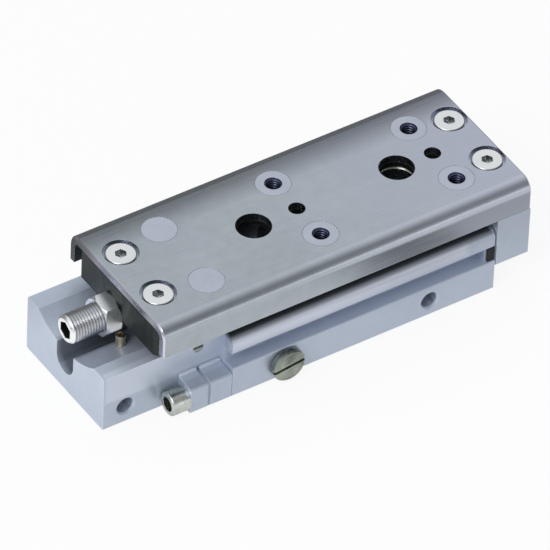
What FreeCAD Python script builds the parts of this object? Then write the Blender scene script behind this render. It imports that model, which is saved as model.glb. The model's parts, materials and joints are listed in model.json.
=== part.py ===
import FreeCAD, Part
import math
import os

# Pneumatic slide table with twin bores, a ball guide and a rear stroke adjuster.
# Millimetres. The origin is the centre of the body's base.
# +X is the way the table extends, +Y the far side and +Z up. The table is shown retracted.

# Clearances
running_gap = 0.05
seat_gap = 0.05
face_gap = 0.3

# Body
body_length = 103.2
body_top = 17.5
flank_y = 20.0
bar_y = 19.6
bar_round = 2.2
bar_under_round = 0.8
flank_round = 0.4
far_side_y = 18.4
far_side_round = 1.5
base_chamfer = 0.4
groove_bottom = 8.7
groove_top = 12.5
groove_floor_y = 16.0
recess_length = 31.3
recess_wall_y = 14.2
land_z = 15.4
dish_y = 2.1
dish_drop = 6.4
dish_radius = 20.0
slot_width = 7.0
slot_bottom = 5.0
slot_length = 27.5

# Twin bores, with the travel of the pistons
stroke = 30.0
bore_dia = 8.0
bore_y = 10.4
bore_z = 11.0
bore_depth = 61.6
rod_dia = 4.0
rod_neck_dia = 3.2
rod_head_dia = 5.2
rod_head_length = 0.8
rod_end_gap = 0.5
piston_length = 7.0
piston_gap = 0.08
piston_seal_width = 1.8
piston_seal_depth = 1.1
magnet_length = 3.6
magnet_dia = 6.6
bumper_ring_length = 1.2
cover_dia = 9.0
cover_length = 7.6
cover_inset = 1.0
rod_seal_width = 2.0
rod_seal_dia = 6.4
cover_ring_width = 1.6
cover_ring_depth = 0.6
snap_ring_width = 0.6
snap_ring_dia = 9.6
snap_ring_inner_dia = 7.2

# Air ports and passages
port_tap_dia = 4.2
port_mouth_dia = 5.1
port_z = 4.5
port_depth = 6.0
rear_port_inset = 6.1
plug_port_inset = 57.6
front_port_inset = 17.8
passage_dia = 2.0
cross_front_inset = 11.1
cross_rear_inset = 1.5
cross_dia = 1.6
gallery_z = 4.0
gallery_rise_inset = 12.6
passage_plug_dia = 3.4
passage_plug_length = 2.5
passage_plug_inset = 0.4

# Slotted plug in the middle port
plug_head_dia = 8.5
plug_head_height = 1.6
plug_shank_length = 4.0
plug_slot_width = 1.0
plug_slot_depth = 0.8
plug_slot_turn = -8.0
gasket_dia = 7.4
gasket_thickness = 0.6

# Axial port block beside the recess, with its hollow bolt
port_block_length = 5.8
port_plate_length = 4.7
port_joint_gap = 0.7
port_gasket_inset = 0.25
port_block_height = 7.2
port_block_back_rise = 0.9
port_block_lip_width = 0.8
port_block_lip_height = 0.5
port_block_lip_round = 0.3
port_block_wall_gap = 0.1
hollow_bolt_y = 17.4
hollow_bolt_z = 3.2
hollow_head_dia = 6.0
hollow_head_length = 4.7
hollow_head_bore_dia = 3.6
hollow_head_bore_depth = 4.0
hollow_shank_dia = 3.4
hollow_shank_reach = 6.0
hollow_bore_dia = 1.6
set_screw_dia = 2.8
set_screw_length = 3.0
set_screw_slot_width = 0.7
set_screw_slot_depth = 0.8
set_screw_x_from_wall = 5.8
set_screw_z = 13.5
trough_screw_dia = 2.6
trough_screw_x = -40.1
trough_screw_y = -3.1
trough_screw_drop = 2.6
trough_screw_length = 6.5
trough_screw_socket = 1.3
trough_screw_socket_depth = 2.0

# Table plate, a bent channel
table_top = 29.0
table_length = 100.4
table_half_width = 20.0
sheet = 2.0
bend_radius = 3.5
skirt_bottom = 20.8
sheared_edge = 0.4

# End plate
plate_gap = 0.3
end_plate_thickness = 9.0
end_plate_bottom = 6.8
end_plate_shoulder_gap = 0.1
end_plate_shoulder_round = 0.4
end_plate_chamfer = 0.5
front_tap_y = 15.0
front_tap_z = 15.6
front_tap_dia = 3.3
front_tap_depth = 6.0
rod_screw_head_dia = 4.4
rod_screw_head_height = 2.4
rod_screw_dia = 2.1
rod_screw_grip = 6.0
rod_seat_depth = 5.0
retract_bumper_dia = 5.0
retract_bumper_depth = 2.2
retract_bumper_y = 15.2
retract_bumper_z = 10.6

# Low-head screws through the table
screw_y = 7.92
screw_head_dia = 7.3
screw_head_height = 1.1
screw_recess_dia = 8.6
screw_recess_depth = 1.4
screw_core_dia = 3.2
screw_tap_dia = 3.3
screw_clear_dia = 4.3
screw_reach = 7.0
screw_socket_flats = 2.5
screw_socket_depth = 1.9

# Bosses and holes in the table
boss_dia = 8.5
boss_shank_dia = 6.4
boss_pitch_x = 37.3
boss_pitch_y = 20.0
front_boss_inset = 14.4
blank_boss_pitch_x = 31.0
insert_tap_dia = 3.3
insert_mouth_dia = 4.2
access_dia = 8.5
access_pitch = 39.2
front_access_inset = 24.3
pin_hole_dia = 4.0

# Holes through the body and in its base
mount_clear_dia = 4.5
mount_tap_dia = 4.2
mount_tap_depth = 8.0
mount_head_dia = 8.0
mount_head_floor = 10.5
base_pin_dia = 3.0
base_pin_depth = 4.0
base_pin_pitch = 39.2
base_pin_offset = -9.4

# Ball guide
guide_gap_z = 0.7
rail_side_inset = 3.8
rail_inner_y = 11.0
rail_web = 1.5
rail_end_gap = 0.5
guide_top_gap = 0.4
guide_half_width = 9.6
ball_dia = 3.0
ball_gap = 0.1
ball_pitch = 3.3
return_y = 6.6
guide_access_dia = 9.0
guide_access_chamfer = 0.4
end_cap_length = 4.6
wiper_length = 1.0
guide_front_inset = 0.6
guide_rear_gap = 1.2
cap_side_gap = 0.2
wiper_side_gap = 0.4
guide_screw_dia = 2.5
guide_screw_head_dia = 4.5
guide_screw_head_height = 2.5
guide_screw_grip = 5.0
guide_screw_inset = 4.5
guide_screw_pitch = 8.5
guide_screw_socket = 2.0
dowel_dia = 2.0
dowel_depth = 4.0
dowel_inset = 2.4
cap_screw_y = 2.8
cap_screw_dia = 1.3
cap_screw_head_dia = 2.4
cap_screw_head_height = 1.0
cap_screw_grip = 3.0

# Rear block with the stroke adjuster
rear_block_inset = 0.3
rear_block_thickness = 10.2
rear_block_chamfer = 0.8
rear_screw_inset = 6.0
adjuster_y = 2.2
adjuster_drop = 7.5
adjuster_dia = 7.2
adjuster_tail = 12.6
adjuster_nose = 1.2
adjuster_socket_flats = 4.0
adjuster_socket_depth = 3.0
adjuster_chamfer = 0.6
adjuster_boss_dia = 9.8
channel_dia = 11.0
lock_nut_flats = 9.2
lock_nut_length = 4.2
lock_nut_turn = 40.0
tip_dia = 4.6
tip_length = 1.4
tip_stem_dia = 2.0
tip_stem_length = 2.5
stop_clearance = 0.1
stop_thickness = 5.0
stop_screw_dia = 2.5
stop_screw_head_dia = 5.0
stop_screw_head_height = 2.6
stop_screw_grip = 3.5
stop_screw_socket = 2.0
groove_bumper_length = 1.6
groove_bumper_inset = 0.1
groove_web = 0.6

# Places along X that several pieces share
body_left = -body_length / 2
body_right = body_length / 2
recess_x = body_left + recess_length
end_plate_back = body_right + plate_gap
end_plate_front = end_plate_back + end_plate_thickness
table_left = end_plate_front - table_length
rear_block_back = table_left + rear_block_inset
rear_block_front = rear_block_back + rear_block_thickness
rear_screw_x = table_left + rear_screw_inset
front_screw_x = (end_plate_back + end_plate_front) / 2
adjuster_front = rear_block_front + adjuster_nose
tip_front = adjuster_front + tip_length
stop_back = tip_front + stroke + stop_clearance
stop_front = stop_back + stop_thickness
rail_back = rear_block_front + rail_end_gap
rail_front = end_plate_back - rail_end_gap
front_boss_x = end_plate_front - front_boss_inset
middle_boss_x = front_boss_x - boss_pitch_x
blank_boss_x = middle_boss_x - blank_boss_pitch_x
front_access_x = end_plate_front - front_access_inset
rear_access_x = front_access_x - access_pitch
bore_end = body_right - bore_depth
piston_back = bore_end + rod_end_gap + rod_head_length + magnet_length
piston_front = piston_back + piston_length
rod_tip = end_plate_back + rod_seat_depth
cover_front = body_right - cover_inset
cover_back = cover_front - cover_length
rear_port_x = body_left + rear_port_inset
plug_port_x = body_right - plug_port_inset
front_port_x = body_right - front_port_inset
port_block_front = recess_x - seat_gap
port_block_back = port_block_front - port_block_length
port_plate_front = port_block_back - port_joint_gap
port_plate_back = port_plate_front - port_plate_length
guide_wiper_front = body_right - guide_front_inset
guide_cap_front = guide_wiper_front - wiper_length
guide_front = guide_cap_front - end_cap_length
guide_wiper_back = stop_front + guide_rear_gap
guide_cap_back = guide_wiper_back + wiper_length
guide_back = guide_cap_back + end_cap_length

# Heights that several pieces share
sheet_under = table_top - sheet
slide_bottom = body_top + guide_gap_z
web_under = sheet_under - rail_web
guide_top = web_under - guide_top_gap
ball_z = (slide_bottom + guide_top) / 2
ball_y = (rail_inner_y + guide_half_width) / 2
rail_half_width = table_half_width - rail_side_inset
adjuster_z = web_under - adjuster_drop
dish_bottom = adjuster_z - dish_drop
trough_screw_top = adjuster_z - trough_screw_drop
trough_screw_foot = trough_screw_top - trough_screw_length


def box(x0, x1, y0, y1, z0, z1):
    return Part.makeBox(x1 - x0, y1 - y0, z1 - z0, FreeCAD.Vector(x0, y0, z0))


def round_x(x0, x1, y, z, dia):
    return Part.makeCylinder(dia / 2, x1 - x0, FreeCAD.Vector(x0, y, z), FreeCAD.Vector(1, 0, 0))


def round_y(x, y0, y1, z, dia):
    return Part.makeCylinder(dia / 2, y1 - y0, FreeCAD.Vector(x, y0, z), FreeCAD.Vector(0, 1, 0))


def round_z(x, y, z0, z1, dia):
    return Part.makeCylinder(dia / 2, z1 - z0, FreeCAD.Vector(x, y, z0), FreeCAD.Vector(0, 0, 1))


def tube_x(x0, x1, y, z, outer, inner):
    return round_x(x0, x1, y, z, outer).cut(round_x(x0, x1, y, z, inner))


def hexagon(centre, normal, start, flats, length):
    """A six-sided prism of the given size across its flats, standing on its centre."""
    corner = start * (flats / math.sqrt(3))
    points = []
    for step in range(7):
        turn = FreeCAD.Rotation(normal, 60.0 * step)
        points.append(centre + turn.multVec(corner))
    return Part.Face(Part.makePolygon(points)).extrude(normal * length)


def prism_x(x0, x1, outline):
    points = [FreeCAD.Vector(x0, y, z) for y, z in outline]
    points.append(points[0])
    return Part.Face(Part.makePolygon(points)).extrude(FreeCAD.Vector(x1 - x0, 0, 0))


def edges_along_x(shape, corners):
    """The straight edges that run along X through the given (y, z) corners."""
    found = []
    for edge in shape.Edges:
        a = edge.Vertexes[0].Point
        b = edge.Vertexes[-1].Point
        for y, z in corners:
            on_a = math.hypot(a.y - y, a.z - z) < 1e-4
            on_b = math.hypot(b.y - y, b.z - z) < 1e-4
            if on_a and on_b:
                found.append(edge)
    return found


def end_edges(shape, foot):
    """The edges round both end faces, without those that lie at the height of the foot."""
    ends = (shape.BoundBox.XMin, shape.BoundBox.XMax)
    found = []
    for edge in shape.Edges:
        limits = edge.BoundBox
        at_end = limits.XLength < 1e-4 and min(abs(limits.XMin - x) for x in ends) < 1e-4
        if at_end and limits.ZMax > foot + 1e-3:
            found.append(edge)
    return found


def slanted_hole(start, end, dia):
    way = end - start
    return Part.makeCylinder(dia / 2, way.Length, start, way)


def both_sides(make):
    """One shape made for the near side and once more for the far side."""
    return Part.makeCompound([make(-1), make(1)])


def port_hole(x, face_y, dia, mouth):
    """A tapped port from the near side, with its countersunk mouth."""
    chamfer = (mouth - dia) / 2
    hole = round_y(x, face_y - chamfer, face_y + port_depth, port_z, dia)
    start = FreeCAD.Vector(x, face_y, port_z)
    cone = Part.makeCone(mouth / 2, dia / 2, chamfer, start, FreeCAD.Vector(0, 1, 0))
    return hole.fuse(cone)


def body_bores():
    cuts = []
    for side in (-1, 1):
        y = side * bore_y
        cuts.append(round_x(bore_end, body_right + 1, y, bore_z, bore_dia))
        cuts.append(round_x(cover_back, body_right + 1, y, bore_z, cover_dia))
        cuts.append(round_x(cover_front, cover_front + snap_ring_width, y, bore_z, snap_ring_dia))
    return cuts


def body_passages():
    near_bore = FreeCAD.Vector(0, -bore_y, bore_z - bore_dia / 4)
    cuts = [port_hole(rear_port_x, -recess_wall_y, port_tap_dia, port_mouth_dia)]
    for x in (plug_port_x, front_port_x):
        cuts.append(port_hole(x, -flank_y, port_tap_dia, port_mouth_dia))
        foot = FreeCAD.Vector(x, -flank_y + port_depth - passage_dia / 2, port_z)
        cuts.append(slanted_hole(foot, FreeCAD.Vector(x, near_bore.y, near_bore.z), passage_dia))
    rise_x = body_right - gallery_rise_inset
    cuts.append(round_x(rear_port_x, body_right + 1, -bore_y, gallery_z, passage_dia))
    cuts.append(round_z(rise_x, -bore_y, gallery_z, bore_z, passage_dia))
    plug_back = body_right - passage_plug_inset - passage_plug_length
    cuts.append(round_x(plug_back, body_right + 1, -bore_y, gallery_z, passage_plug_dia))
    for x in cross_passage_places():
        cuts.append(round_y(x, -bore_y, far_side_y + 1, bore_z, cross_dia))
        plug_start = far_side_y - passage_plug_inset - passage_plug_length
        cuts.append(round_y(x, plug_start, far_side_y + 1, bore_z, passage_plug_dia))
    bolt_end = recess_x + hollow_shank_reach
    tap_dia = hollow_shank_dia + 2 * seat_gap
    cuts.append(round_x(recess_x - 1, bolt_end, -hollow_bolt_y, hollow_bolt_z, tap_dia))
    cuts.append(round_x(recess_x, plug_port_x, -hollow_bolt_y, hollow_bolt_z, passage_dia))
    return cuts


def cross_passage_places():
    return (bore_end + cross_rear_inset, body_right - cross_front_inset)


def body_mount_holes():
    cuts = []
    for x in (rear_access_x, front_access_x):
        cuts.append(round_z(x, 0, -1, mount_tap_depth, mount_tap_dia))
        cuts.append(round_z(x, 0, mount_tap_depth, body_top + 1, mount_clear_dia))
        cuts.append(round_z(x, 0, mount_head_floor, body_top + 1, mount_head_dia))
    for step in (0, 1):
        x = rear_access_x + base_pin_offset + step * base_pin_pitch
        cuts.append(round_z(x, 0, -1, base_pin_depth, base_pin_dia))
    return cuts


def body_fastener_holes():
    cuts = []
    tap = guide_screw_dia - 2 * seat_gap
    for x in guide_screw_places():
        cuts.append(round_z(x, 0, body_top - guide_screw_grip - seat_gap, body_top + 1, tap))
    cuts.append(round_z(dowel_place(), 0, body_top - dowel_depth, body_top + 1, dowel_dia))
    x = (stop_back + stop_front) / 2
    head = stop_screw_head_dia + 4 * seat_gap
    clear = stop_screw_dia + 4 * seat_gap
    cuts.append(round_z(x, adjuster_y, -1, stop_screw_head_height + face_gap, head))
    cuts.append(round_z(x, adjuster_y, -1, body_top, clear))
    x = recess_x - set_screw_x_from_wall
    wall = -recess_wall_y
    cuts.append(round_y(x, wall - 1, wall + set_screw_length + face_gap, set_screw_z, set_screw_dia))
    cuts.append(round_z(trough_screw_x, trough_screw_y, trough_screw_foot, land_z, trough_screw_dia))
    return cuts


def cylinder_body():
    outline = [
        (far_side_y, 0),
        (far_side_y, body_top),
        (-bar_y, body_top),
        (-bar_y, groove_top),
        (-groove_floor_y, groove_top),
        (-groove_floor_y, groove_bottom),
        (-flank_y, groove_bottom),
        (-flank_y, 0),
    ]
    body = prism_x(body_left, body_right, outline)
    rounds = (
        (bar_round, (-bar_y, body_top)),
        (far_side_round, (far_side_y, body_top)),
        (bar_under_round, (-bar_y, groove_top)),
        (flank_round, (-flank_y, groove_bottom)),
    )
    for radius, corner in rounds:
        body = body.makeFillet(radius, edges_along_x(body, [corner]))
    base_edges = edges_along_x(body, [(-flank_y, 0), (far_side_y, 0)])
    body = body.makeChamfer(base_chamfer, base_edges)
    web_front = body_right - groove_bumper_inset - groove_bumper_length
    web_y = -bar_y + bar_under_round
    web_back = web_front - groove_web
    body = body.fuse(box(web_back, web_front, web_y, -groove_floor_y + 1, groove_bottom, groove_top))
    cuts = [box(body_left - 1, recess_x, -flank_y - 1, -recess_wall_y, -1, body_top + 1)]
    cuts.append(box(body_left - 1, recess_x, -flank_y, flank_y, land_z, body_top + 1))
    cuts.append(round_x(body_left - 1, recess_x, dish_y, dish_bottom + dish_radius, 2 * dish_radius))
    cuts.append(round_x(recess_x - 1, stop_front + seat_gap, adjuster_y, adjuster_z, channel_dia))
    half_slot = slot_width / 2
    slot_end = body_left + slot_length
    slot_low = slot_bottom + half_slot
    slot_y = adjuster_y
    cuts.append(round_x(body_left - 1, slot_end, slot_y, slot_low, slot_width))
    cuts.append(box(body_left - 1, slot_end, slot_y - half_slot, slot_y + half_slot, slot_low, land_z))
    cuts += body_bores()
    cuts += body_passages()
    cuts += body_mount_holes()
    cuts += body_fastener_holes()
    return body.cut(cuts)


def axis_ring(x0, x1, outer, inner):
    """A ring on each bore axis, near and far."""
    return both_sides(lambda side: tube_x(x0, x1, side * bore_y, bore_z, outer, inner))


def rod_cover(side):
    y = side * bore_y
    cover = round_x(cover_back, cover_front, y, bore_z, cover_dia - 2 * seat_gap)
    cuts = [round_x(cover_back, cover_front, y, bore_z, rod_dia + 2 * running_gap)]
    cuts.append(round_x(rod_seal_back(), cover_front, y, bore_z, rod_seal_dia))
    ring_back = cover_ring_back()
    ring_floor = cover_dia - 2 * cover_ring_depth - 2 * seat_gap
    cuts.append(tube_x(ring_back, ring_back + cover_ring_width, y, bore_z, cover_dia, ring_floor))
    return cover.cut(cuts)


def rod_seal_back():
    return cover_front - rod_seal_width


def cover_ring_back():
    return cover_back + cover_ring_width


def rod_seals():
    return axis_ring(rod_seal_back(), cover_front, rod_seal_dia, rod_dia + 2 * running_gap)


def cover_rings():
    back = cover_ring_back()
    inner = cover_dia - 2 * cover_ring_depth - 2 * seat_gap
    return axis_ring(back, back + cover_ring_width, cover_dia, inner)


def snap_rings():
    return axis_ring(cover_front, cover_front + snap_ring_width, snap_ring_dia, snap_ring_inner_dia)


def piston(side):
    y = side * bore_y
    outer = bore_dia - 2 * piston_gap
    solid = tube_x(piston_back, piston_front, y, bore_z, outer, rod_neck_dia)
    seal_back = piston_seal_back()
    groove = tube_x(seal_back, seal_back + piston_seal_width, y, bore_z, bore_dia, seal_floor())
    return solid.cut(groove)


def piston_seal_back():
    return piston_back + (piston_length - piston_seal_width) / 2


def seal_floor():
    return bore_dia - 2 * piston_seal_depth


def piston_seals():
    back = piston_seal_back()
    return axis_ring(back, back + piston_seal_width, bore_dia - 2 * running_gap, seal_floor())


def piston_magnets():
    return axis_ring(piston_back - magnet_length, piston_back, magnet_dia, rod_neck_dia)


def piston_bumpers():
    return axis_ring(piston_front, piston_front + bumper_ring_length, magnet_dia, rod_dia)


def piston_rod(side):
    y = side * bore_y
    head_back = bore_end + rod_end_gap
    rod = round_x(piston_front, rod_tip, y, bore_z, rod_dia)
    rod = rod.fuse(round_x(head_back, piston_front, y, bore_z, rod_neck_dia))
    rod = rod.fuse(round_x(head_back, head_back + rod_head_length, y, bore_z, rod_head_dia))
    tap = round_x(rod_tip - rod_screw_grip - seat_gap, rod_tip, y, bore_z, rod_screw_dia)
    return rod.cut(tap).removeSplitter()


def cap_screw(seat, way, head_dia, head_height, shank_dia, shank_length, socket_flats):
    """A socket-head screw whose head sits on seat and whose shank points along way."""
    back = way * -1.0
    head = Part.makeCylinder(head_dia / 2, head_height, seat, back)
    shank = Part.makeCylinder(shank_dia / 2, shank_length, seat, way)
    start = FreeCAD.Vector(0, 1, 0)
    if abs(way.y) > 0.5:
        start = FreeCAD.Vector(1, 0, 0)
    depth = head_height * 0.6
    socket = hexagon(seat + back * (head_height - depth), back, start, socket_flats, depth)
    return head.fuse(shank).cut(socket)


def rod_end_screws():
    seat_x = end_plate_front - rod_screw_head_height - face_gap
    length = seat_x - rod_tip + rod_screw_grip

    def screw(side):
        seat = FreeCAD.Vector(seat_x, side * bore_y, bore_z)
        shank = rod_screw_dia - 2 * seat_gap
        way = FreeCAD.Vector(-1, 0, 0)
        flats = rod_screw_dia - 4 * seat_gap
        return cap_screw(seat, way, rod_screw_head_dia, rod_screw_head_height, shank, length, flats)

    return both_sides(screw)


def end_plate():
    inner_y = table_half_width - sheet - seat_gap
    shoulder = skirt_bottom - end_plate_shoulder_gap
    outline = [
        (-table_half_width, end_plate_bottom),
        (table_half_width, end_plate_bottom),
        (table_half_width, shoulder),
        (inner_y, shoulder),
        (inner_y, sheet_under),
        (-inner_y, sheet_under),
        (-inner_y, shoulder),
        (-table_half_width, shoulder),
    ]
    plate = prism_x(end_plate_back, end_plate_front, outline)
    corner_y = inner_y
    top_corners = edges_along_x(plate, [(-corner_y, sheet_under), (corner_y, sheet_under)])
    plate = plate.makeFillet(bend_radius - sheet + seat_gap, top_corners)
    shoulders = [(-table_half_width, shoulder), (table_half_width, shoulder)]
    plate = plate.makeFillet(end_plate_shoulder_round, edges_along_x(plate, shoulders))
    low_corners = [(-table_half_width, end_plate_bottom), (table_half_width, end_plate_bottom)]
    plate = plate.makeChamfer(end_plate_chamfer, edges_along_x(plate, low_corners))
    cuts = []
    head_room = rod_screw_head_height + face_gap
    for side in (-1, 1):
        y = side * bore_y
        cuts.append(round_x(end_plate_back - 1, rod_tip, y, bore_z, rod_dia + 2 * seat_gap))
        clear = rod_screw_dia + 4 * seat_gap
        cuts.append(round_x(rod_tip - 1, end_plate_front + 1, y, bore_z, clear))
        head_dia = rod_screw_head_dia + 4 * seat_gap
        cuts.append(round_x(end_plate_front - head_room, end_plate_front + 1, y, bore_z, head_dia))
        tap_depth = screw_reach + seat_gap
        y = side * screw_y
        cuts.append(round_z(front_screw_x, y, sheet_under - tap_depth, sheet_under + 1, screw_tap_dia))
        y = side * front_tap_y
        tap_back = end_plate_front - front_tap_depth
        cuts.append(round_x(tap_back, end_plate_front + 1, y, front_tap_z, front_tap_dia))
        y = side * retract_bumper_y
        pocket = end_plate_back + retract_bumper_depth
        cuts.append(round_x(end_plate_back - 1, pocket, y, retract_bumper_z, retract_bumper_dia))
    return plate.cut(cuts)


def retract_bumpers():
    back = body_right + seat_gap
    front = end_plate_back + retract_bumper_depth

    def bumper(side):
        return round_x(back, front, side * retract_bumper_y, retract_bumper_z, retract_bumper_dia)

    return both_sides(bumper)


def low_head_screw(x, y):
    seat = table_top - screw_recess_depth
    head = round_z(x, y, seat, seat + screw_head_height, screw_head_dia)
    rim = head.Edges[0]
    for edge in head.Edges:
        if edge.BoundBox.ZMin > seat + screw_head_height / 2:
            rim = edge
    head = head.makeChamfer(screw_head_height / 5, [rim])
    shank = round_z(x, y, sheet_under - screw_reach, seat, screw_core_dia)
    top = FreeCAD.Vector(x, y, seat + screw_head_height - screw_socket_depth)
    up = FreeCAD.Vector(0, 0, 1)
    across = FreeCAD.Vector(1, 0, 0)
    socket = hexagon(top, up, across, screw_socket_flats, screw_socket_depth)
    return head.fuse(shank).cut(socket)


def table_plate():
    inner_y = table_half_width - sheet
    shell = box(table_left, end_plate_front, -table_half_width, table_half_width, skirt_bottom, table_top)
    outer = [(-table_half_width, table_top), (table_half_width, table_top)]
    shell = shell.makeFillet(bend_radius, edges_along_x(shell, outer))
    shell = shell.makeChamfer(sheared_edge, end_edges(shell, skirt_bottom))
    hollow = box(table_left - 1, end_plate_front + 1, -inner_y, inner_y, skirt_bottom - 1, sheet_under)
    inner = [(-inner_y, sheet_under), (inner_y, sheet_under)]
    hollow = hollow.makeFillet(bend_radius - sheet, edges_along_x(hollow, inner))
    cuts = [hollow]
    for x in (rear_screw_x, front_screw_x):
        for side in (-1, 1):
            y = side * screw_y
            cuts.append(round_z(x, y, sheet_under - 1, table_top + 1, screw_clear_dia))
            seat = table_top - screw_recess_depth
            cuts.append(round_z(x, y, seat, table_top + 1, screw_recess_dia))
    for x, y in boss_places(True) + boss_places(False):
        cuts.append(round_z(x, y, sheet_under - 1, table_top + 1, boss_dia))
    cuts += slide_top_holes(sheet_under - 1, table_top + 1)
    return shell.cut(cuts)


def boss_places(threaded):
    """The centres of the threaded bosses, or of the two blank ones."""
    half = boss_pitch_y / 2
    columns = (blank_boss_x,)
    if threaded:
        columns = (middle_boss_x, front_boss_x)
    return [(x, side * half) for x in columns for side in (-1, 1)]


def slide_top_holes(z0, z1):
    """The access and pin holes that run through both the table and the rail."""
    holes = [round_z(x, 0, z0, z1, access_dia) for x in (rear_access_x, front_access_x)]
    holes += [round_z(x, 0, z0, z1, pin_hole_dia) for x in (middle_boss_x, front_boss_x)]
    return holes


def table_boss(x, y, threaded):
    boss = round_z(x, y, sheet_under, table_top, boss_dia)
    boss = boss.fuse(round_z(x, y, web_under, sheet_under, boss_shank_dia))
    if not threaded:
        return boss
    mouth = (insert_mouth_dia - insert_tap_dia) / 2
    start = FreeCAD.Vector(x, y, table_top - mouth)
    up = FreeCAD.Vector(0, 0, 1)
    cone = Part.makeCone(insert_tap_dia / 2, insert_mouth_dia / 2, mouth, start, up)
    return boss.cut([round_z(x, y, web_under, table_top, insert_tap_dia), cone])


def table_rail():
    outline = [
        (-rail_half_width, sheet_under),
        (-rail_half_width, slide_bottom),
        (-rail_inner_y, slide_bottom),
        (-rail_inner_y, web_under),
        (rail_inner_y, web_under),
        (rail_inner_y, slide_bottom),
        (rail_half_width, slide_bottom),
        (rail_half_width, sheet_under),
    ]
    rail = prism_x(rail_back, rail_front, outline)
    groove_dia = ball_dia + 2 * ball_gap
    cuts = [round_x(rail_back - 1, rail_front + 1, side * ball_y, ball_z, groove_dia) for side in (-1, 1)]
    for x, y in boss_places(True) + boss_places(False):
        cuts.append(round_z(x, y, web_under, sheet_under + 1, boss_shank_dia))
    cuts += slide_top_holes(web_under - 1, sheet_under + 1)
    return rail.cut(cuts)


def rear_block():
    outline = [
        (-rail_half_width, sheet_under),
        (-rail_half_width, slide_bottom),
        (rail_half_width, slide_bottom),
        (rail_half_width, sheet_under),
    ]
    block = prism_x(rear_block_back, rear_block_front, outline)
    rims = [edge for edge in end_edges(block, slide_bottom) if edge.BoundBox.XMax < rear_screw_x]
    block = block.makeChamfer(rear_block_chamfer, rims)
    boss = round_x(rear_block_back, rear_block_front, adjuster_y, adjuster_z, adjuster_boss_dia)
    block = block.fuse(boss)
    hole_dia = adjuster_dia + 2 * running_gap
    cuts = [round_x(rear_block_back - 1, rear_block_front + 1, adjuster_y, adjuster_z, hole_dia)]
    tap_floor = sheet_under - screw_reach - seat_gap
    for side in (-1, 1):
        cuts.append(round_z(rear_screw_x, side * screw_y, tap_floor, sheet_under + 1, screw_tap_dia))
    return block.cut(cuts).removeSplitter()


def adjuster_screw():
    back = rear_block_back - adjuster_tail
    screw = round_x(back, adjuster_front, adjuster_y, adjuster_z, adjuster_dia)
    rims = [edge for edge in screw.Edges if edge.BoundBox.XLength < 1e-4]
    screw = screw.makeChamfer(adjuster_chamfer, rims)
    centre = FreeCAD.Vector(back, adjuster_y, adjuster_z)
    along = FreeCAD.Vector(1, 0, 0)
    up = FreeCAD.Vector(0, 0, 1)
    socket = hexagon(centre, along, up, adjuster_socket_flats, adjuster_socket_depth)
    stem_back = adjuster_front - tip_stem_length
    stem_hole = round_x(stem_back, adjuster_front + 1, adjuster_y, adjuster_z, tip_stem_dia)
    return screw.cut([socket, stem_hole])


def adjuster_tip():
    tip = round_x(adjuster_front, tip_front, adjuster_y, adjuster_z, tip_dia)
    stem_back = adjuster_front - tip_stem_length
    return tip.fuse(round_x(stem_back, adjuster_front, adjuster_y, adjuster_z, tip_stem_dia))


def adjuster_lock_nut():
    centre = FreeCAD.Vector(rear_block_back - lock_nut_length, adjuster_y, adjuster_z)
    along = FreeCAD.Vector(1, 0, 0)
    start = FreeCAD.Rotation(along, lock_nut_turn).multVec(FreeCAD.Vector(0, 0, 1))
    nut = hexagon(centre, along, start, lock_nut_flats, lock_nut_length)
    corner_dia = lock_nut_flats * 2 / math.sqrt(3)
    blank = round_x(centre.x, rear_block_back, adjuster_y, adjuster_z, corner_dia)
    rims = [edge for edge in blank.Edges if edge.BoundBox.XLength < 1e-4]
    blank = blank.makeChamfer((corner_dia - lock_nut_flats) / 2, rims)
    hole_dia = adjuster_dia + 2 * running_gap
    hole = round_x(centre.x - 1, rear_block_back + 1, adjuster_y, adjuster_z, hole_dia)
    return nut.common(blank).cut(hole)


def stop_disc():
    disc = round_x(stop_back, stop_front, adjuster_y, adjuster_z, channel_dia - 2 * seat_gap)
    x = (stop_back + stop_front) / 2
    foot = adjuster_z - channel_dia / 2
    top = foot + stop_screw_grip + seat_gap
    return disc.cut(round_z(x, adjuster_y, foot - 1, top, stop_screw_dia))


def stop_disc_screw():
    x = (stop_back + stop_front) / 2
    seat_z = stop_screw_head_height + face_gap
    seat = FreeCAD.Vector(x, adjuster_y, seat_z)
    up = FreeCAD.Vector(0, 0, 1)
    length = adjuster_z - channel_dia / 2 + stop_screw_grip - seat_z
    shank = stop_screw_dia - 2 * seat_gap
    return cap_screw(seat, up, stop_screw_head_dia, stop_screw_head_height, shank, length, stop_screw_socket)


def guide_screw_places():
    first = guide_back + guide_screw_inset
    return (first, first + guide_screw_pitch)


def dowel_place():
    return guide_front - dowel_inset


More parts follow.
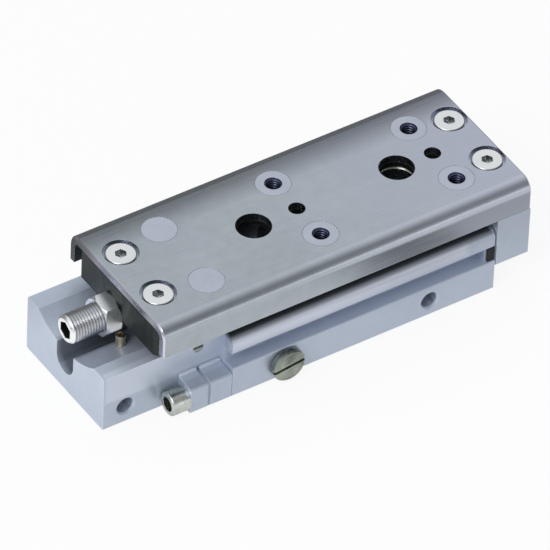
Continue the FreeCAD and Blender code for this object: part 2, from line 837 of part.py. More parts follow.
def guide_block():
    block = box(guide_back, guide_front, -guide_half_width, guide_half_width, body_top, guide_top)
    cuts = []
    tunnel_dia = ball_dia + 2 * ball_gap
    for side in (-1, 1):
        cuts.append(round_x(guide_back - 1, guide_front + 1, side * ball_y, ball_z, tunnel_dia))
        cuts.append(round_x(guide_back - 1, guide_front + 1, side * return_y, ball_z, tunnel_dia))
        for x0, x1 in cap_screw_taps():
            cuts.append(round_x(x0, x1, side * cap_screw_y, ball_z, cap_screw_dia))
    cuts.append(round_z(front_access_x, 0, body_top - 1, guide_top + 1, guide_access_dia))
    radius = guide_access_dia / 2
    foot = FreeCAD.Vector(front_access_x, 0, guide_top - guide_access_chamfer)
    up = FreeCAD.Vector(0, 0, 1)
    cuts.append(Part.makeCone(radius, radius + guide_access_chamfer, guide_access_chamfer, foot, up))
    seat = guide_top - guide_screw_head_height - face_gap
    for x in guide_screw_places():
        cuts.append(round_z(x, 0, body_top - 1, guide_top + 1, guide_screw_dia + 4 * seat_gap))
        cuts.append(round_z(x, 0, seat, guide_top + 1, guide_screw_head_dia + 4 * seat_gap))
    cuts.append(round_z(dowel_place(), 0, body_top - 1, guide_top + 1, dowel_dia))
    return block.cut(cuts)


def cap_screw_taps():
    depth = cap_screw_grip + seat_gap
    return ((guide_back - 1, guide_back + depth), (guide_front - depth, guide_front + 1))


def guide_screws():
    seat_z = guide_top - guide_screw_head_height - face_gap
    length = seat_z - body_top + guide_screw_grip
    shank = guide_screw_dia - 4 * seat_gap
    down = FreeCAD.Vector(0, 0, -1)
    screws = []
    for x in guide_screw_places():
        seat = FreeCAD.Vector(x, 0, seat_z)
        screw = cap_screw(
            seat, down, guide_screw_head_dia, guide_screw_head_height, shank, length, guide_screw_socket
        )
        screws.append(screw)
    return Part.makeCompound(screws)


def guide_dowel():
    return round_z(dowel_place(), 0, body_top - dowel_depth, guide_top - face_gap, dowel_dia)


def end_cap(inner_x, outer_x):
    """A moulded cap whose pockets turn the balls from the loaded row to the return hole."""
    x0 = min(inner_x, outer_x)
    x1 = max(inner_x, outer_x)
    way = math.copysign(1.0, outer_x - inner_x)
    half = guide_half_width - cap_side_gap
    cap = box(x0, x1, -half, half, body_top + seat_gap, guide_top - cap_side_gap)
    turn = (ball_y - return_y + ball_dia) / 2 + ball_gap
    pocket_x = sorted((inner_x, inner_x + way * turn))
    cuts = []
    reach = ball_dia / 2 + ball_gap
    for side in (-1, 1):
        inner = side * (return_y - reach)
        y0, y1 = sorted((inner, side * (ball_y + reach)))
        cuts.append(box(pocket_x[0], pocket_x[1], y0, y1, ball_z - reach, ball_z + reach))
        y = side * cap_screw_y
        cuts.append(round_x(x0 - 1, x1 + 1, y, ball_z, cap_screw_dia + 4 * seat_gap))
        head_x = sorted((outer_x - way * cap_screw_head_height, outer_x + way))
        head_dia = cap_screw_head_dia + 4 * seat_gap
        cuts.append(round_x(head_x[0], head_x[1], y, ball_z, head_dia))
    return cap.cut(cuts)


def end_cap_screws():
    screws = []
    length = end_cap_length - cap_screw_head_height + cap_screw_grip
    shank = cap_screw_dia - 2 * seat_gap
    height = cap_screw_head_height - seat_gap
    for outer_x, way in ((guide_cap_back, 1), (guide_cap_front, -1)):
        seat_x = outer_x + way * cap_screw_head_height
        for side in (-1, 1):
            seat = FreeCAD.Vector(seat_x, side * cap_screw_y, ball_z)
            aim = FreeCAD.Vector(way, 0, 0)
            screws.append(cap_screw(seat, aim, cap_screw_head_dia, height, shank, length, cap_screw_dia / 2))
    return Part.makeCompound(screws)


def wiper(x0, x1):
    """A rubber wiper that reaches into both ball grooves of the rail."""
    half = rail_inner_y - wiper_side_gap
    plate = box(x0, x1, -half, half, body_top + seat_gap, guide_top)
    for side in (-1, 1):
        plate = plate.fuse(round_x(x0, x1, side * ball_y, ball_z, ball_dia - 2 * ball_gap))
    return plate.removeSplitter()


def ball_loop(side):
    """The balls of one closed circuit: loaded row, return hole and the turns between."""
    straight = guide_front - guide_back
    turn_radius = (ball_y - return_y) / 2
    middle_y = (ball_y + return_y) / 2
    half_turn = math.pi * turn_radius
    total = 2 * straight + 2 * half_turn
    count = int(total / ball_pitch)
    balls = []
    for index in range(count):
        way = total * index / count
        if way < straight:
            x = guide_back + way
            y = ball_y
        elif way < straight + half_turn:
            angle = (way - straight) / turn_radius
            x = guide_front + turn_radius * math.sin(angle)
            y = middle_y + turn_radius * math.cos(angle)
        elif way < 2 * straight + half_turn:
            x = guide_front - (way - straight - half_turn)
            y = return_y
        else:
            angle = (way - 2 * straight - half_turn) / turn_radius
            x = guide_back - turn_radius * math.sin(angle)
            y = middle_y - turn_radius * math.cos(angle)
        balls.append(Part.makeSphere(ball_dia / 2, FreeCAD.Vector(x, side * y, ball_z)))
    return Part.makeCompound(balls)


def port_plug():
    seat_y = -flank_y - gasket_thickness
    head_y = seat_y - plug_head_height
    plug = round_y(plug_port_x, head_y, seat_y, port_z, plug_head_dia)
    rims = [edge for edge in plug.Edges if edge.BoundBox.YMax < head_y + plug_head_height / 2]
    plug = plug.makeChamfer(plug_head_height / 5, rims)
    shank_end = -flank_y + plug_shank_length
    plug = plug.fuse(round_y(plug_port_x, seat_y, shank_end, port_z, port_tap_dia - 2 * seat_gap))
    half = plug_slot_width / 2
    slot = box(
        plug_port_x - plug_head_dia,
        plug_port_x + plug_head_dia,
        head_y - 1,
        head_y + plug_slot_depth,
        port_z - half,
        port_z + half,
    )
    slot.rotate(FreeCAD.Vector(plug_port_x, 0, port_z), FreeCAD.Vector(0, 1, 0), plug_slot_turn)
    return plug.cut(slot)


def port_plug_gasket():
    ring = round_y(plug_port_x, -flank_y - gasket_thickness, -flank_y, port_z, gasket_dia)
    return ring.cut(round_y(plug_port_x, -flank_y - 1, -flank_y + 1, port_z, port_tap_dia))


def port_block_slice(x0, x1):
    """One slice of the axial port block: a sloping top with a lip along its back, and the bolt's hole."""
    wall = -recess_wall_y - port_block_wall_gap
    lip_y = wall - port_block_lip_width
    lip_top = port_block_height + port_block_back_rise
    outline = [
        (-flank_y, 0),
        (wall, 0),
        (wall, lip_top),
        (lip_y, lip_top),
        (lip_y, lip_top - port_block_lip_height),
        (-flank_y, port_block_height),
    ]
    block = prism_x(x0, x1, outline)
    edges = edges_along_x(block, [(-flank_y, port_block_height), (-flank_y, 0)])
    block = block.makeChamfer(base_chamfer, edges)
    block = block.makeFillet(port_block_lip_round, edges_along_x(block, [(lip_y, lip_top)]))
    hole_dia = hollow_shank_dia + 2 * seat_gap
    return block.cut(round_x(x0 - 1, x1 + 1, -hollow_bolt_y, hollow_bolt_z, hole_dia))


def port_block_gasket():
    inset = port_gasket_inset
    wall = -recess_wall_y - port_block_wall_gap
    sheet_x0 = port_plate_front
    gasket = box(sheet_x0, port_block_back, -flank_y + inset, wall, inset, port_block_height - inset)
    hole_dia = hollow_shank_dia + 2 * seat_gap
    hole = round_x(sheet_x0 - 1, port_block_back + 1, -hollow_bolt_y, hollow_bolt_z, hole_dia)
    return gasket.cut(hole)


def hollow_bolt():
    y = -hollow_bolt_y
    head_back = port_plate_back - hollow_head_length
    bolt = round_x(head_back, port_plate_back, y, hollow_bolt_z, hollow_head_dia)
    rims = [edge for edge in bolt.Edges if edge.BoundBox.XMax < head_back + 0.1]
    bolt = bolt.makeChamfer(hollow_head_dia / 20, rims)
    shank_front = recess_x + hollow_shank_reach - seat_gap
    bolt = bolt.fuse(round_x(port_plate_back, shank_front, y, hollow_bolt_z, hollow_shank_dia))
    mouth_front = head_back + hollow_head_bore_depth
    cuts = [round_x(head_back - 1, mouth_front, y, hollow_bolt_z, hollow_head_bore_dia)]
    cuts.append(round_x(head_back - 1, shank_front + 1, y, hollow_bolt_z, hollow_bore_dia))
    return bolt.cut(cuts)


def recess_set_screw():
    x = recess_x - set_screw_x_from_wall
    wall = -recess_wall_y
    face = wall + seat_gap
    screw = round_y(x, face, wall + set_screw_length, set_screw_z, set_screw_dia)
    low = set_screw_z - set_screw_slot_width / 2
    high = set_screw_z + set_screw_slot_width / 2
    floor = face + set_screw_slot_depth
    return screw.cut(box(x - set_screw_dia, x + set_screw_dia, face - 1, floor, low, high))


def trough_screw():
    """The small hollow-ended screw that stands in the trough, under the adjuster."""
    dia = trough_screw_dia - 2 * seat_gap
    screw = round_z(trough_screw_x, trough_screw_y, trough_screw_foot + seat_gap, trough_screw_top, dia)
    floor = FreeCAD.Vector(trough_screw_x, trough_screw_y, trough_screw_top - trough_screw_socket_depth)
    up = FreeCAD.Vector(0, 0, 1)
    across = FreeCAD.Vector(1, 0, 0)
    return screw.cut(hexagon(floor, up, across, trough_screw_socket, trough_screw_socket_depth))


def passage_plugs():
    y0 = far_side_y - passage_plug_inset - passage_plug_length
    y1 = far_side_y - passage_plug_inset
    plugs = [round_y(x, y0, y1, bore_z, passage_plug_dia) for x in cross_passage_places()]
    x1 = body_right - passage_plug_inset
    plugs.append(round_x(x1 - passage_plug_length, x1, -bore_y, gallery_z, passage_plug_dia))
    return Part.makeCompound(plugs)


def groove_bumper():
    x1 = body_right - groove_bumper_inset
    outer_y = -bar_y + groove_bumper_inset
    return box(x1 - groove_bumper_length, x1, outer_y, -groove_floor_y, groove_bottom, groove_top)


def build():
    """Every piece by the name of its file."""
    pieces = {}
    pieces["cylinder_body"] = cylinder_body()
    pieces["near_rod_cover"] = rod_cover(-1)
    pieces["far_rod_cover"] = rod_cover(1)
    pieces["rod_seals"] = rod_seals()
    pieces["cover_rings"] = cover_rings()
    pieces["snap_rings"] = snap_rings()
    pieces["guide_block"] = guide_block()
    pieces["guide_screws"] = guide_screws()
    pieces["guide_dowel"] = guide_dowel()
    pieces["rear_end_cap"] = end_cap(guide_back, guide_cap_back)
    pieces["front_end_cap"] = end_cap(guide_front, guide_cap_front)
    pieces["end_cap_screws"] = end_cap_screws()
    pieces["rear_wiper"] = wiper(guide_wiper_back, guide_cap_back)
    pieces["front_wiper"] = wiper(guide_cap_front, guide_wiper_front)
    pieces["near_ball_loop"] = ball_loop(-1)
    pieces["far_ball_loop"] = ball_loop(1)
    pieces["stop_disc"] = stop_disc()
    pieces["stop_disc_screw"] = stop_disc_screw()
    pieces["port_plug"] = port_plug()
    pieces["port_plug_gasket"] = port_plug_gasket()
    pieces["axial_port_block"] = port_block_slice(port_block_back, port_block_front)
    pieces["axial_port_plate"] = port_block_slice(port_plate_back, port_plate_front)
    pieces["port_block_gasket"] = port_block_gasket()
    pieces["hollow_bolt"] = hollow_bolt()
    pieces["recess_set_screw"] = recess_set_screw()
    pieces["trough_screw"] = trough_screw()
    pieces["passage_plugs"] = passage_plugs()
    pieces["groove_bumper"] = groove_bumper()
    pieces["table_plate"] = table_plate()
    pieces["table_rail"] = table_rail()
    inserts = [table_boss(x, y, True) for x, y in boss_places(True)]
    pieces["thread_inserts"] = Part.makeCompound(inserts)
    blanks = [table_boss(x, y, False) for x, y in boss_places(False)]
    pieces["blank_bosses"] = Part.makeCompound(blanks)
    pieces["rear_block"] = rear_block()
    pieces["rear_block_screws"] = both_sides(lambda side: low_head_screw(rear_screw_x, side * screw_y))
    pieces["end_plate"] = end_plate()
    pieces["end_plate_screws"] = both_sides(lambda side: low_head_screw(front_screw_x, side * screw_y))
    pieces["retract_bumpers"] = retract_bumpers()
    pieces["near_piston"] = piston(-1)
    pieces["far_piston"] = piston(1)
    pieces["near_piston_rod"] = piston_rod(-1)
    pieces["far_piston_rod"] = piston_rod(1)
    pieces["piston_seals"] = piston_seals()
    pieces["piston_magnets"] = piston_magnets()
    pieces["piston_bumpers"] = piston_bumpers()
    pieces["rod_end_screws"] = rod_end_screws()
    pieces["adjuster_lock_nut"] = adjuster_lock_nut()
    pieces["adjuster_screw"] = adjuster_screw()
    pieces["adjuster_tip"] = adjuster_tip()
    return pieces


os.makedirs("parts", exist_ok=True)
for name, shape in build().items():
    shape.exportStep("parts/" + name + ".step")
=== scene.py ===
import bmesh
import bpy
import json
import math
from mathutils import Matrix, Vector


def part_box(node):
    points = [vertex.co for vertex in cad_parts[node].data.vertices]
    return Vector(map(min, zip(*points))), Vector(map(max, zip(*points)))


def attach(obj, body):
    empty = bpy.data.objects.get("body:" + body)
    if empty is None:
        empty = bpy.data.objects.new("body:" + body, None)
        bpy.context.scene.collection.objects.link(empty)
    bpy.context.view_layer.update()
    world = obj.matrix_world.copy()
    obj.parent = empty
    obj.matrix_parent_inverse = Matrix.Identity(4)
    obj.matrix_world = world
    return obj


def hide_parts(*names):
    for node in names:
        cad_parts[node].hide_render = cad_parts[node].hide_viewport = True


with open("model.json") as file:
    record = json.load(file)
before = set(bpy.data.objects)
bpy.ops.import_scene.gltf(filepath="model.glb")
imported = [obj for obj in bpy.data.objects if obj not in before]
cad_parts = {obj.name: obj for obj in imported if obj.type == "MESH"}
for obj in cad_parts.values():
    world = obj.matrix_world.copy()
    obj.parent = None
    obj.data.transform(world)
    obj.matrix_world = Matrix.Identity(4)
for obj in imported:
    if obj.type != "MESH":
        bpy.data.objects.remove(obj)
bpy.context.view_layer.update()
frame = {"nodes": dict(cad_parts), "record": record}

MM = 0.001

# The photograph's camera, in degrees, metres and millimetres of lens
CAMERA_AZIMUTH = -34.77
CAMERA_ELEVATION = 42.18
CAMERA_ROLL = 2.69
CAMERA_DISTANCE = 2.4
CAMERA_LENS = 691.2
CAMERA_SENSOR = 36.0
CAMERA_TARGET = Vector((-0.00749, -0.01654, 0.029))
CAMERA_REACH = 20

# The point that the lamps face, in metres
LAMP_TARGET = Vector((0, 0, 0.015))

# How bright the room is from the far horizon (0) over the zenith (0.5) to the near horizon (1)
ROOM_TONES = [
    (0.00, 0.16), (0.08, 0.20), (0.15, 0.34), (0.21, 0.62), (0.27, 0.84),
    (0.34, 0.92), (0.42, 0.88), (0.52, 0.70), (0.60, 0.50), (0.68, 0.34),
    (0.76, 0.30), (0.84, 0.38), (0.92, 0.54), (1.00, 0.66),
]
# The room's share of that on its left and its right
ROOM_LEFT = 1.1
ROOM_RIGHT = 0.9
ROOM_COLOUR = (0.97, 0.985, 1.0, 1)

# The floor, in metres. It lies a hair below the base, so that the two don't fight where they meet.
FLOOR_HALF = 6.0
FLOOR_DROP = 0.02 * MM
PAPER = (0.80, 0.80, 0.80, 1)
# How much of the floor's light is its own where the camera or a reflection sees it, and how bright
GLOW_SHARE = 0.85
GLOW_SEEN = 1.04
# Painted shade: the floor's glow, as reflections see it, dips beside the object. The dip is a share
# over DIP_REACH outward from its sides, and its depth a share over DIP_REACH along it.
OBJECT_SIDE = 0.02
DIP_REACH = 0.1
DIP_OUTWARD = [(0.0, 0.0), (0.08, 0.1), (0.2, 1.0), (0.32, 1.0), (0.6, 0.0)]
DIP_DEPTH = [(0.0, 0.05), (0.15, 0.10), (0.42, 0.75), (0.50, 0.70), (0.60, 0.42)]


# Camera, lights and floor


def make_camera():
    """The camera at the photograph's angle, turned by its roll."""
    azimuth = math.radians(CAMERA_AZIMUTH)
    elevation = math.radians(CAMERA_ELEVATION)
    roll = math.radians(CAMERA_ROLL)
    level = math.cos(elevation)
    back = Vector((math.sin(azimuth) * level, -math.cos(azimuth) * level, math.sin(elevation)))
    flat_right = Vector((math.cos(azimuth), math.sin(azimuth), 0))
    right = Matrix.Rotation(roll, 3, back) @ flat_right
    up = back.cross(right)
    data = bpy.data.cameras.new("camera")
    data.lens = CAMERA_LENS
    data.sensor_width = CAMERA_SENSOR
    data.clip_end = CAMERA_REACH
    camera = bpy.data.objects.new("camera", data)
    bpy.context.scene.collection.objects.link(camera)
    turn = Matrix((right, up, back)).transposed().to_4x4()
    camera.matrix_world = Matrix.Translation(CAMERA_TARGET + back * CAMERA_DISTANCE) @ turn
    bpy.context.scene.camera = camera


def area_light(name, place, size, power, colour):
    """A soft lamp that faces the object; metres and watts."""
    data = bpy.data.lights.new(name, "AREA")
    data.shape = "RECTANGLE"
    data.size = size[0]
    data.size_y = size[1]
    data.energy = power
    data.color = colour
    lamp = bpy.data.objects.new(name, data)
    bpy.context.scene.collection.objects.link(lamp)
    lamp.location = place
    aim = LAMP_TARGET - Vector(place)
    lamp.rotation_euler = aim.to_track_quat("-Z", "Y").to_euler()


def make_lights():
    area_light("left_window", (-0.85, -0.40, 0.85), (0.6, 0.6), 5.5, (0.97, 0.98, 1.0))
    area_light("front_strip", (0.2, -1.3, 0.25), (1.4, 0.30), 0.8, (1.0, 1.0, 1.0))


def make_world():
    """White where the camera looks past the object, and soft bands where its metal reflects."""
    world = bpy.data.worlds.new("studio")
    bpy.context.scene.world = world
    world.use_nodes = True
    tree = world.node_tree
    tree.nodes.clear()
    output = add(tree, "ShaderNodeOutputWorld")
    seen = add(tree, "ShaderNodeBackground")
    seen.inputs["Color"].default_value = (1, 1, 1, 1)
    way = add(tree, "ShaderNodeTexCoord")
    parts = add(tree, "ShaderNodeSeparateXYZ")
    put(tree, parts.inputs[0], way.outputs["Generated"])
    turn = math_node(tree, "ARCTAN2", parts.outputs["Z"], parts.outputs["Y"])
    share = math_node(tree, "DIVIDE", turn, math.pi, True)
    tone = ramp_node(tree, share, ROOM_TONES)
    side = map_range(tree, parts.outputs["X"], -1.0, 1.0, ROOM_LEFT, ROOM_RIGHT)
    room = add(tree, "ShaderNodeBackground")
    room.inputs["Color"].default_value = ROOM_COLOUR
    put(tree, room.inputs["Strength"], math_node(tree, "MULTIPLY", tone, side))
    path = add(tree, "ShaderNodeLightPath")
    camera, clear = path.outputs["Is Camera Ray"], path.outputs["Is Transmission Ray"]
    rays = math_node(tree, "MAXIMUM", camera, clear)
    mix = add(tree, "ShaderNodeMixShader")
    tree.links.new(rays, mix.inputs[0])
    tree.links.new(room.outputs[0], mix.inputs[1])
    tree.links.new(seen.outputs[0], mix.inputs[2])
    tree.links.new(mix.outputs[0], output.inputs[0])


def make_floor():
    """A white floor. Its glow, as reflections see it, carries painted shade beside and behind the
    object and painted light on its left.
    """
    mesh = bpy.data.meshes.new("floor")
    signs = [(-1, -1), (1, -1), (1, 1), (-1, 1)]
    corners = [(x * FLOOR_HALF, y * FLOOR_HALF, 0) for x, y in signs]
    mesh.from_pydata(corners, [], [(0, 1, 2, 3)])
    floor = bpy.data.objects.new("floor", mesh)
    bpy.context.scene.collection.objects.link(floor)
    material = bpy.data.materials.new("floor_paper")
    material.use_nodes = True
    tree = material.node_tree
    tree.nodes.clear()
    output = add(tree, "ShaderNodeOutputMaterial")
    paper = add(tree, "ShaderNodeBsdfDiffuse")
    paper.inputs["Color"].default_value = PAPER
    place = add(tree, "ShaderNodeSeparateXYZ")
    put(tree, place.inputs[0], add(tree, "ShaderNodeNewGeometry").outputs["Position"])
    from_middle = math_node(tree, "ABSOLUTE", place.outputs["Y"])
    away = math_node(tree, "SUBTRACT", from_middle, OBJECT_SIDE)
    dip = ramp_node(tree, math_node(tree, "DIVIDE", away, DIP_REACH, True), DIP_OUTWARD)
    along = map_range(tree, place.outputs["X"], 0.0, DIP_REACH, 0.0, 1.0)
    depth = ramp_node(tree, along, DIP_DEPTH)
    # Painted light: brighter past the object's left end
    left = map_range(tree, place.outputs["X"], -0.045, -0.06, 0.88, 1.20)
    near = math_node(tree, "SUBTRACT", left, math_node(tree, "MULTIPLY", dip, depth))
    # Painted shade: darker behind it
    far = map_range(tree, place.outputs["Y"], OBJECT_SIDE, 0.045, 1.0, 0.2)
    reflected = math_node(tree, "MULTIPLY", near, far)
    path = add(tree, "ShaderNodeLightPath")
    glow = add(tree, "ShaderNodeEmission")
    camera, glossy = path.outputs["Is Camera Ray"], path.outputs["Is Glossy Ray"]
    strength = map_range(tree, glossy, 0.0, 1.0, GLOW_SEEN, reflected)
    put(tree, glow.inputs["Strength"], strength)
    rays = math_node(tree, "MAXIMUM", camera, glossy)
    share = math_node(tree, "MULTIPLY", rays, GLOW_SHARE)
    mix = add(tree, "ShaderNodeMixShader")
    tree.links.new(share, mix.inputs[0])
    tree.links.new(paper.outputs[0], mix.inputs[1])
    tree.links.new(glow.outputs[0], mix.inputs[2])
    tree.links.new(mix.outputs[0], output.inputs[0])
    mesh.materials.append(material)
    floor.location.z = -FLOOR_DROP


# Shader helpers


def add(tree, kind, **values):
    node = tree.nodes.new(kind)
    for key, value in values.items():
        setattr(node, key, value)
    return node


def put(tree, socket, value):
    """Links an output to the socket, or sets the socket's own value."""
    if isinstance(value, bpy.types.NodeSocket):
        tree.links.new(value, socket)
    else:
        socket.default_value = value


def math_node(tree, operation, a, b=0.0, clamp=False):
    node = add(tree, "ShaderNodeMath", operation=operation, use_clamp=clamp)
    put(tree, node.inputs[0], a)
    put(tree, node.inputs[1], b)
    return node.outputs[0]


def mix_colour(tree, share, a, b):
    node = add(tree, "ShaderNodeMix", data_type="RGBA")
    put(tree, node.inputs["Factor"], share)
    put(tree, node.inputs[6], a)
    put(tree, node.inputs[7], b)
    return node.outputs[2]


def map_range(tree, value, low, high, to_low, to_high):
    node = add(tree, "ShaderNodeMapRange")
    for socket, setting in zip(node.inputs, (value, low, high, to_low, to_high)):
        put(tree, socket, setting)
    return node.outputs[0]


def ramp_node(tree, value, stops):
    """A grey ramp: stops are (place, tone)."""
    node = add(tree, "ShaderNodeValToRGB")
    node.color_ramp.interpolation = "EASE"
    elements = node.color_ramp.elements
    while len(elements) < len(stops):
        elements.new(0.5)
    for element, (place, tone) in zip(elements, stops):
        element.position = place
        element.color = (tone, tone, tone, 1)
    put(tree, node.inputs[0], value)
    return node.outputs["Color"]


def new_group(name, inputs, outputs):
    """A shader node group. inputs are (name, kind, value), and outputs (name, kind)."""
    group = bpy.data.node_groups.new(name, "ShaderNodeTree")
    for label, kind, value in inputs:
        socket = group.interface.new_socket(name=label, in_out="INPUT", socket_type=kind)
        socket.default_value = value
    for label, kind in outputs:
        group.interface.new_socket(name=label, in_out="OUTPUT", socket_type=kind)
    return group, add(group, "NodeGroupInput"), add(group, "NodeGroupOutput")


def use_group(tree, group, **values):
    node = add(tree, "ShaderNodeGroup", node_tree=group)
    for key, value in values.items():
        put(tree, node.inputs[key.replace("_", " ")], value)
    return node


FLOAT = "NodeSocketFloat"
COLOUR = "NodeSocketColor"
VECTOR = "NodeSocketVector"


def make_grain_group():
    """Fine machining or rolling lines: noise drawn out along one way of the piece."""
    group, source, result = new_group(
        "drawn_grain",
        [("Stretch", VECTOR, (1, 1, 1)), ("Scale", FLOAT, 1000.0), ("Detail", FLOAT, 3.0)],
        [("Height", FLOAT), ("Mask", FLOAT)],
    )
    place = add(group, "ShaderNodeTexCoord")
    drawn = add(group, "ShaderNodeVectorMath", operation="MULTIPLY")
    put(group, drawn.inputs[0], place.outputs["Object"])
    put(group, drawn.inputs[1], source.outputs["Stretch"])
    noise = add(group, "ShaderNodeTexNoise")
    put(group, noise.inputs["Vector"], drawn.outputs[0])
    put(group, noise.inputs["Scale"], source.outputs["Scale"])
    put(group, noise.inputs["Detail"], source.outputs["Detail"])
    put(group, result.inputs["Height"], noise.outputs["Fac"])
    put(group, result.inputs["Mask"], map_range(group, noise.outputs["Fac"], 0.3, 0.7, 0.0, 1.0))
    return group


def make_mottle_group():
    """Slow changes of tone over a surface, with a finer cloud over them."""
    group, source, result = new_group(
        "metal_mottle",
        [
            ("Dark", COLOUR, (0.3, 0.3, 0.3, 1)),
            ("Light", COLOUR, (0.5, 0.5, 0.5, 1)),
            ("Scale", FLOAT, 40.0),
            ("Finer", FLOAT, 14.0),
            ("Fine Share", FLOAT, 0.35),
        ],
        [("Colour", COLOUR)],
    )
    place = add(group, "ShaderNodeTexCoord")
    slow = add(group, "ShaderNodeTexNoise")
    put(group, slow.inputs["Vector"], place.outputs["Object"])
    put(group, slow.inputs["Scale"], source.outputs["Scale"])
    fine = add(group, "ShaderNodeTexNoise")
    put(group, fine.inputs["Vector"], place.outputs["Object"])
    fine_scale = math_node(group, "MULTIPLY", source.outputs["Scale"], source.outputs["Finer"])
    put(group, fine.inputs["Scale"], fine_scale)
    fine_part = math_node(group, "MULTIPLY", fine.outputs["Fac"], source.outputs["Fine Share"])
    slow_share = math_node(group, "SUBTRACT", 1.0, source.outputs["Fine Share"])
    slow_part = math_node(group, "MULTIPLY", slow.outputs["Fac"], slow_share)
    mask = map_range(group, math_node(group, "ADD", fine_part, slow_part), 0.36, 0.64, 0.0, 1.0)
    mixed = mix_colour(group, mask, source.outputs["Dark"], source.outputs["Light"])
    put(group, result.inputs["Colour"], mixed)
    return group


def make_edge_group():
    """Where edges turn: corners rubbed by handling, and painted highlights along edges."""
    group, source, result = new_group(
        "edge_wear_and_highlight",
        [("Radius", FLOAT, 0.0003), ("Amount", FLOAT, 1.0), ("Patch Scale", FLOAT, 300.0)],
        [("Mask", FLOAT)],
    )
    soft = add(group, "ShaderNodeBevel", samples=6)
    put(group, soft.inputs["Radius"], source.outputs["Radius"])
    true = add(group, "ShaderNodeNewGeometry")
    facing = add(group, "ShaderNodeVectorMath", operation="DOT_PRODUCT")
    put(group, facing.inputs[0], soft.outputs[0])
    put(group, facing.inputs[1], true.outputs["Normal"])
    turned = math_node(group, "SUBTRACT", 1.0, facing.outputs["Value"])
    place = add(group, "ShaderNodeTexCoord")
    patch = add(group, "ShaderNodeTexNoise")
    put(group, patch.inputs["Vector"], place.outputs["Object"])
    put(group, patch.inputs["Scale"], source.outputs["Patch Scale"])
    edge_share = map_range(group, turned, 0.01, 0.16, 0.0, 1.0)
    broken = map_range(group, patch.outputs["Fac"], 0.3, 0.65, 0.35, 1.0)
    both = math_node(group, "MULTIPLY", edge_share, broken)
    edge_mask = math_node(group, "MULTIPLY", both, source.outputs["Amount"], True)
    put(group, result.inputs["Mask"], edge_mask)
    return group


def make_cut_group():
    """Faces that a shear or saw left: the broken edges and the flat ends that face along X."""
    group, source, result = new_group(
        "cut_ends",
        [("Broken From", FLOAT, 0.35), ("Flat From", FLOAT, 0.93)],
        [("Broken", FLOAT), ("Flat", FLOAT)],
    )
    parts = add(group, "ShaderNodeSeparateXYZ")
    put(group, parts.inputs[0], add(group, "ShaderNodeNewGeometry").outputs["Normal"])
    along = math_node(group, "ABSOLUTE", parts.outputs["X"])
    low = source.outputs["Broken From"]
    high = source.outputs["Flat From"]
    broken = map_range(group, along, low, math_node(group, "ADD", low, 0.15), 0.0, 1.0)
    flat = map_range(group, along, high, math_node(group, "ADD", high, 0.04), 0.0, 1.0)
    put(group, result.inputs["Broken"], broken)
    put(group, result.inputs["Flat"], flat)
    return group


def make_sag_group():
    """The fall of a bent sheet's top towards its far bend."""
    group, source, result = new_group(
        "sheet_sag", [("Start", FLOAT, 0.006), ("Fall", FLOAT, 5.0)], [("Height", FLOAT)]
    )
    parts = add(group, "ShaderNodeSeparateXYZ")
    put(group, parts.inputs[0], add(group, "ShaderNodeTexCoord").outputs["Object"])
    past = math_node(group, "SUBTRACT", parts.outputs["Y"], source.outputs["Start"])
    past = math_node(group, "MAXIMUM", past, 0.0)
    square = math_node(group, "MULTIPLY", past, past)
    fall = math_node(group, "MULTIPLY", square, source.outputs["Fall"])
    put(group, result.inputs["Height"], math_node(group, "MULTIPLY", fall, -1.0))
    return group


def make_thread_group():
    """Turns of a thread that runs along the axis, and the walls and cones that it lies on."""
    group, source, result = new_group(
        "thread_turns",
        [("Axis", VECTOR, (0, 0, 1)), ("Pitch", FLOAT, 0.0007), ("Slope", FLOAT, 0.8)],
        [("Height", FLOAT), ("Mask", FLOAT)],
    )
    place = add(group, "ShaderNodeVectorMath", operation="DOT_PRODUCT")
    put(group, place.inputs[0], add(group, "ShaderNodeTexCoord").outputs["Object"])
    put(group, place.inputs[1], source.outputs["Axis"])
    turns = math_node(group, "DIVIDE", place.outputs["Value"], source.outputs["Pitch"])
    facing = add(group, "ShaderNodeVectorMath", operation="DOT_PRODUCT")
    put(group, facing.inputs[0], add(group, "ShaderNodeNewGeometry").outputs["Normal"])
    put(group, facing.inputs[1], source.outputs["Axis"])
    across = math_node(group, "ABSOLUTE", facing.outputs["Value"])
    slope = source.outputs["Slope"]
    wall = map_range(group, across, math_node(group, "ADD", slope, 0.12), slope, 0.0, 1.0)
    wave = math_node(group, "PINGPONG", turns, 0.5)
    put(group, result.inputs["Mask"], wall)
    put(group, result.inputs["Height"], math_node(group, "MULTIPLY", wave, wall))
    return group


def make_sunk_group():
    """What lies lower than the top of the piece, such as a screw's socket."""
    group, source, result = new_group(
        "sunk_below_top", [("Top", FLOAT, 0.03), ("Depth", FLOAT, 0.0003)], [("Mask", FLOAT)]
    )
    parts = add(group, "ShaderNodeSeparateXYZ")
    put(group, parts.inputs[0], add(group, "ShaderNodeTexCoord").outputs["Object"])
    below = math_node(group, "SUBTRACT", source.outputs["Top"], parts.outputs["Z"])
    share = math_node(group, "DIVIDE", below, source.outputs["Depth"], True)
    put(group, result.inputs["Mask"], share)
    return group


